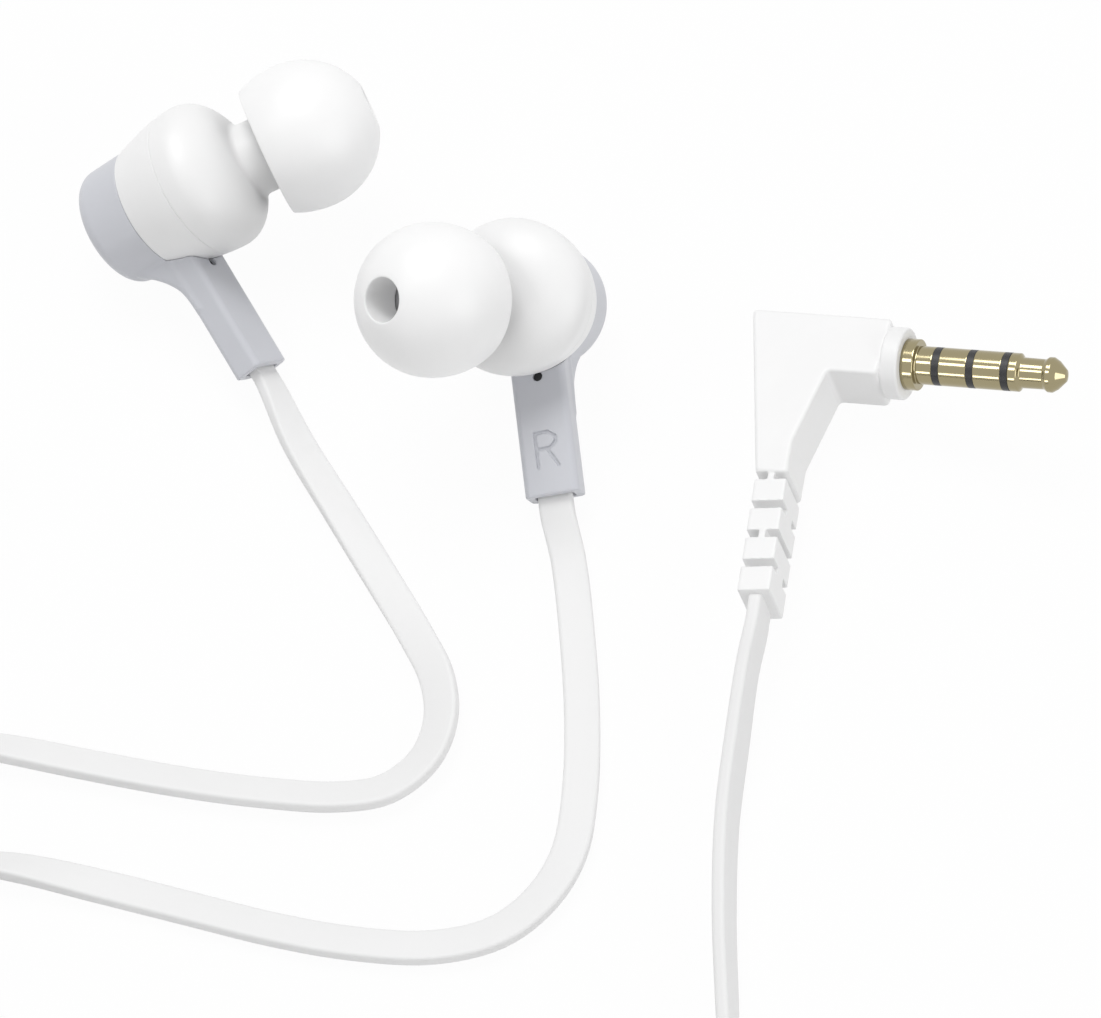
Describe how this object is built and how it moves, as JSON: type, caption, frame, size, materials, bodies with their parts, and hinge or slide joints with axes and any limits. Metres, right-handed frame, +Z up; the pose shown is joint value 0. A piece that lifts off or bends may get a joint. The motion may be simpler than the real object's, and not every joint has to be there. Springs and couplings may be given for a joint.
{
  "type": "earphones",
  "caption": "Wired in-ear earphones: angled earbuds with stems and round silicone tips on flat cords, with an in-line remote and a right-angle headset plug.",
  "frame": {"origin": "on the surface that the earphones lie on, below the middle of the two earbuds' bounding box", "axes": "+Z up from the surface; +X along the row of the earbuds, from the left one to the right one and the plug; +Y away from the cords, towards the earbuds' heads"},
  "size_m": [0.1391, 0.1372, 0.0247],
  "materials": {
    "silicone_white": "satin",
    "shell_white": "satin",
    "cover_grey": "satin",
    "steel": "brushed",
    "copper": "polished",
    "film_clear": "satin",
    "board_green": "matte",
    "insulator_black": "matte",
    "cord_white": "matte",
    "contact_gold": "polished",
    "tie_grey": "matte"
  },
  "bodies": {
    "earphones": {"left_front_housing": "shell_white", "left_mid_housing": "shell_white", "left_rear_cover": "cover_grey", "left_nozzle_mesh": "steel", "left_driver_frame": "cover_grey", "left_yoke": "steel", "left_magnet": "steel", "left_top_plate": "steel", "left_voice_coil": "copper", "left_diaphragm": "film_clear", "left_driver_board": "board_green", "left_vent_damper": "insulator_black", "left_stem_grommet": "cord_white", "left_driver_leads": "copper", "right_front_housing": "shell_white", "right_mid_housing": "shell_white", "right_rear_cover": "cover_grey", "right_nozzle_mesh": "steel", "right_driver_frame": "cover_grey", "right_yoke": "steel", "right_magnet": "steel", "right_top_plate": "steel", "right_voice_coil": "copper", "right_diaphragm": "film_clear", "right_driver_board": "board_green", "right_vent_damper": "insulator_black", "right_stem_grommet": "cord_white", "right_driver_leads": "copper", "plug_overmould": "shell_white", "plug_inner_mould": "cover_grey", "plug_sleeve_contact": "contact_gold", "plug_ring_contact_rear": "contact_gold", "plug_ring_contact_front": "contact_gold", "plug_tip_contact": "contact_gold", "plug_insulators": "insulator_black", "remote_top_shell": "shell_white", "remote_bottom_shell": "shell_white", "remote_board": "board_green", "remote_switch": "steel", "remote_microphone": "steel", "left_cord_near": "cord_white", "left_cord_coil": "cord_white", "left_cord_far": "cord_white", "right_cord_near": "cord_white", "right_cord_coil": "cord_white", "right_cord_far": "cord_white", "main_cord_near": "cord_white", "main_cord_coil": "cord_white", "main_cord_far": "cord_white", "left_ties": "tie_grey", "right_ties": "tie_grey", "main_ties": "tie_grey"},
    "left_tip": {"left_eartip": "silicone_white"},
    "right_tip": {"right_eartip": "silicone_white"},
    "button": {"remote_button": "cover_grey"}
  },
  "joints": [
    {"name": "left_tip_slide", "type": "slide", "parent": "earphones", "child": "left_tip", "axis": [0.9087, 0.3428, 0.2382], "range_m": [0, 0.006]},
    {"name": "right_tip_slide", "type": "slide", "parent": "earphones", "child": "right_tip", "axis": [-0.6491, -0.4078, 0.6422], "range_m": [0, 0.006]},
    {"name": "button_press", "type": "slide", "parent": "earphones", "child": "button", "axis": [0, 0, -1], "range_m": [0, 0.0003], "stiffness_N_per_m": 2000, "springref_m": -0.0001}
  ]
}
